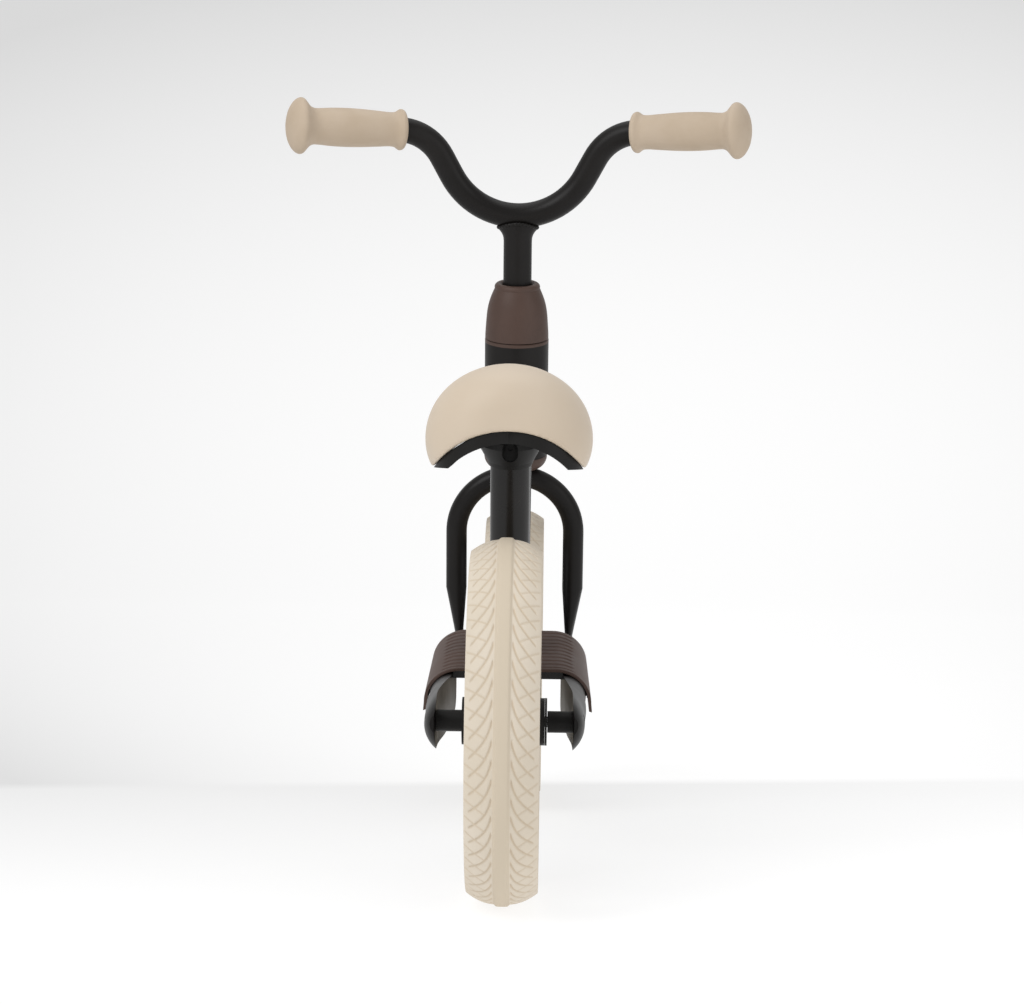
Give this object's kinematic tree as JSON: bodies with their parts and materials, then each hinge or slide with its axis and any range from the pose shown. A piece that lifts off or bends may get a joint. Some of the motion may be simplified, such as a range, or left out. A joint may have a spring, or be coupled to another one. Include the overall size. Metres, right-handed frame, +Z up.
{
  "type": "balance bike",
  "caption": "Child's two-wheel balance bike with riser handlebar, raked fork, low frame with ribbed footrest, height-adjustable saddle and foam tyres",
  "frame": {"origin": "on the ground under the middle of the wheelbase, in the plane of the wheels", "axes": "+X to the rider's right, +Y forwards along the bike, +Z up; rest pose steers straight ahead"},
  "size_m": [0.4093, 0.805, 0.6378],
  "materials": {
    "black_paint": "satin black paint",
    "steel": "ground steel",
    "plated_bolts": "zinc plated",
    "alloy": "machined",
    "brown_plastic": "moulded, satin dark brown",
    "black_plastic": "moulded, satin black",
    "cream_tyre": "matt cream foam tyre",
    "cream_rubber": "matt cream rubber",
    "cream_skin": "smooth cream integral-skin foam"
  },
  "bodies": {
    "frame": {"head_tube": "black_paint", "lower_head_bearing": "steel", "upper_head_bearing": "steel", "head_ring": "brown_plastic", "main_beam": "black_paint", "seat_tube": "black_paint", "seat_collar": "black_paint", "seat_collar_bolt": "plated_bolts", "rear_arm_left": "black_paint", "rear_arm_right": "black_paint", "deck_plate": "black_paint", "footrest_cover": "brown_plastic", "footrest_screws": "black_paint", "rear_axle": "steel", "rear_spacers": "black_plastic", "rear_axle_bolts": "plated_bolts"},
    "fork": {"fork_legs": "black_paint", "steerer_tube": "black_paint", "crown_race": "steel", "lower_head_cover": "brown_plastic", "upper_head_cover": "brown_plastic", "steerer_clamp": "alloy", "steerer_clamp_bolt": "steel", "front_axle": "steel", "front_spacers": "black_plastic", "front_axle_bolts": "plated_bolts"},
    "handlebar": {"stem": "black_paint", "handlebar": "black_paint", "grip_left": "cream_rubber", "grip_right": "cream_rubber"},
    "front_wheel": {"front_tyre": "cream_tyre", "front_rim": "black_plastic", "front_bearings": "steel", "front_bearing_sleeve": "black_plastic", "front_hub_caps": "black_plastic"},
    "rear_wheel": {"rear_tyre": "cream_tyre", "rear_rim": "black_plastic", "rear_bearings": "steel", "rear_bearing_sleeve": "black_plastic", "rear_hub_caps": "black_plastic"},
    "saddle": {"seat_post": "black_paint", "post_plug": "black_plastic", "saddle_shell": "black_plastic", "saddle_cushion": "cream_skin", "saddle_bolt": "black_paint"}
  },
  "joints": [
    {"name": "steering", "type": "hinge", "parent": "frame", "child": "fork", "pos_m": [0, 0.265, 0.1375], "axis": [0, -0.2504, 0.9681], "range_deg": [-40, 40]},
    {"name": "handlebar_height", "type": "slide", "parent": "fork", "child": "handlebar", "axis": [0, -0.2504, 0.9681], "range_m": [-0.035, 0.025]},
    {"name": "saddle_height", "type": "slide", "parent": "frame", "child": "saddle", "axis": [0, -0.309, 0.9511], "range_m": [-0.055, 0]},
    {"name": "front_wheel_spin", "type": "hinge", "parent": "fork", "child": "front_wheel", "pos_m": [0, 0.265, 0.1375], "axis": [1, 0, 0], "continuous": true},
    {"name": "rear_wheel_spin", "type": "hinge", "parent": "frame", "child": "rear_wheel", "pos_m": [0, -0.265, 0.1375], "axis": [1, 0, 0], "continuous": true}
  ]
}
